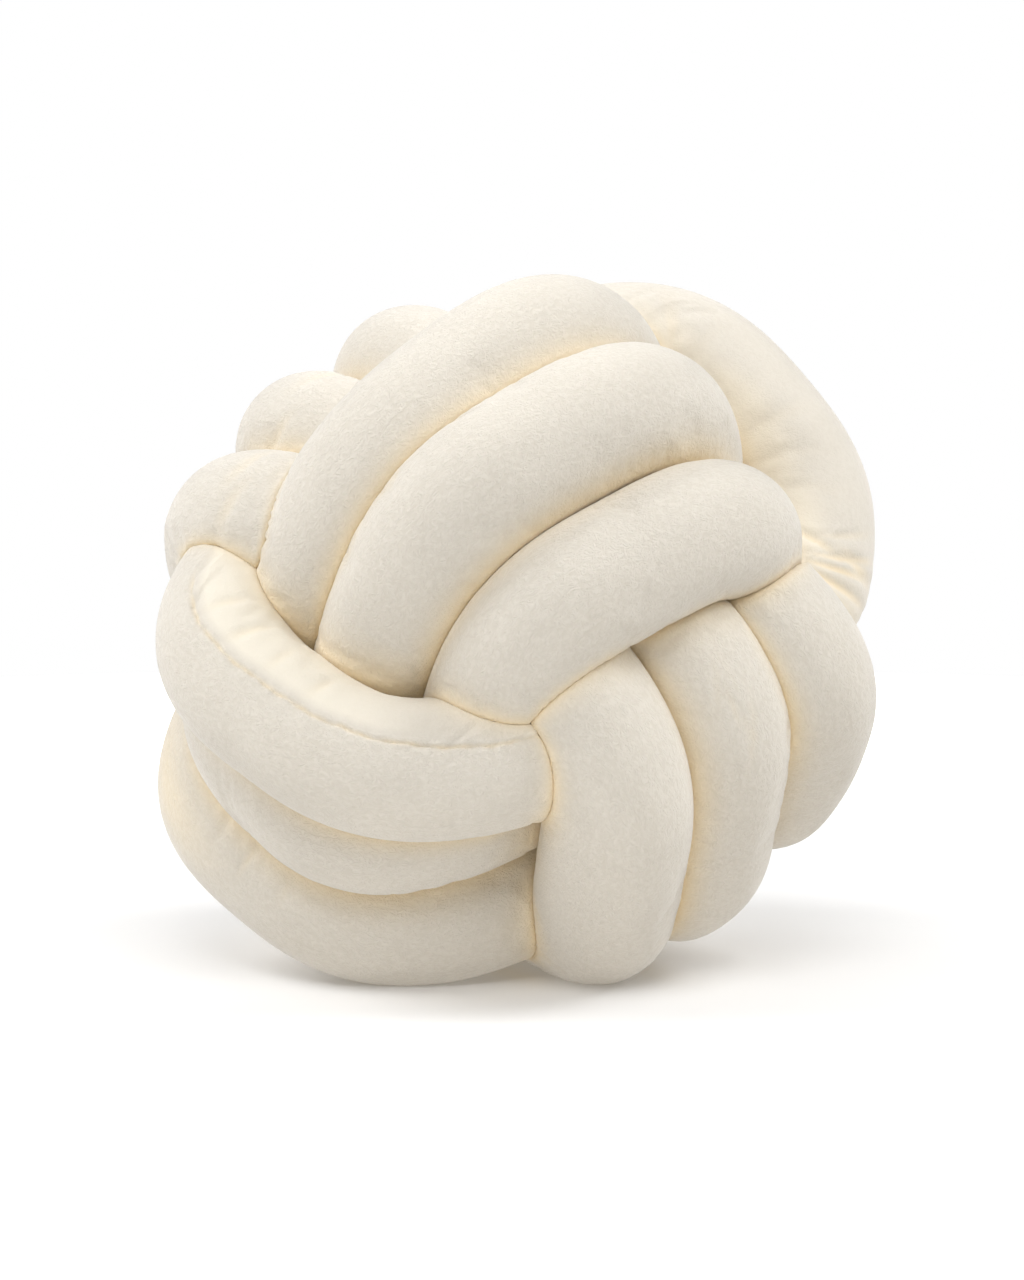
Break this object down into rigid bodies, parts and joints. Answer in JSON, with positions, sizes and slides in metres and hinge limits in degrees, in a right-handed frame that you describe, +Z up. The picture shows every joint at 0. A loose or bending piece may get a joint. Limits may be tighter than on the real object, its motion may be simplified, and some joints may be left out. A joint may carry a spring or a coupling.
{
  "type": "knot cushion",
  "caption": "Ball-shaped throw cushion made of one stuffed plush tube wound and tucked into a knot.",
  "frame": {"origin": "middle of the ball's outline at floor level", "axes": "+Z up as the ball rests, the side seen first faces -Y"},
  "size_m": [0.2976, 0.3018, 0.2872],
  "materials": {
    "plush": "short soft pile"
  },
  "bodies": {
    "root": {"knotted_tube": "plush"}
  },
  "joints": []
}
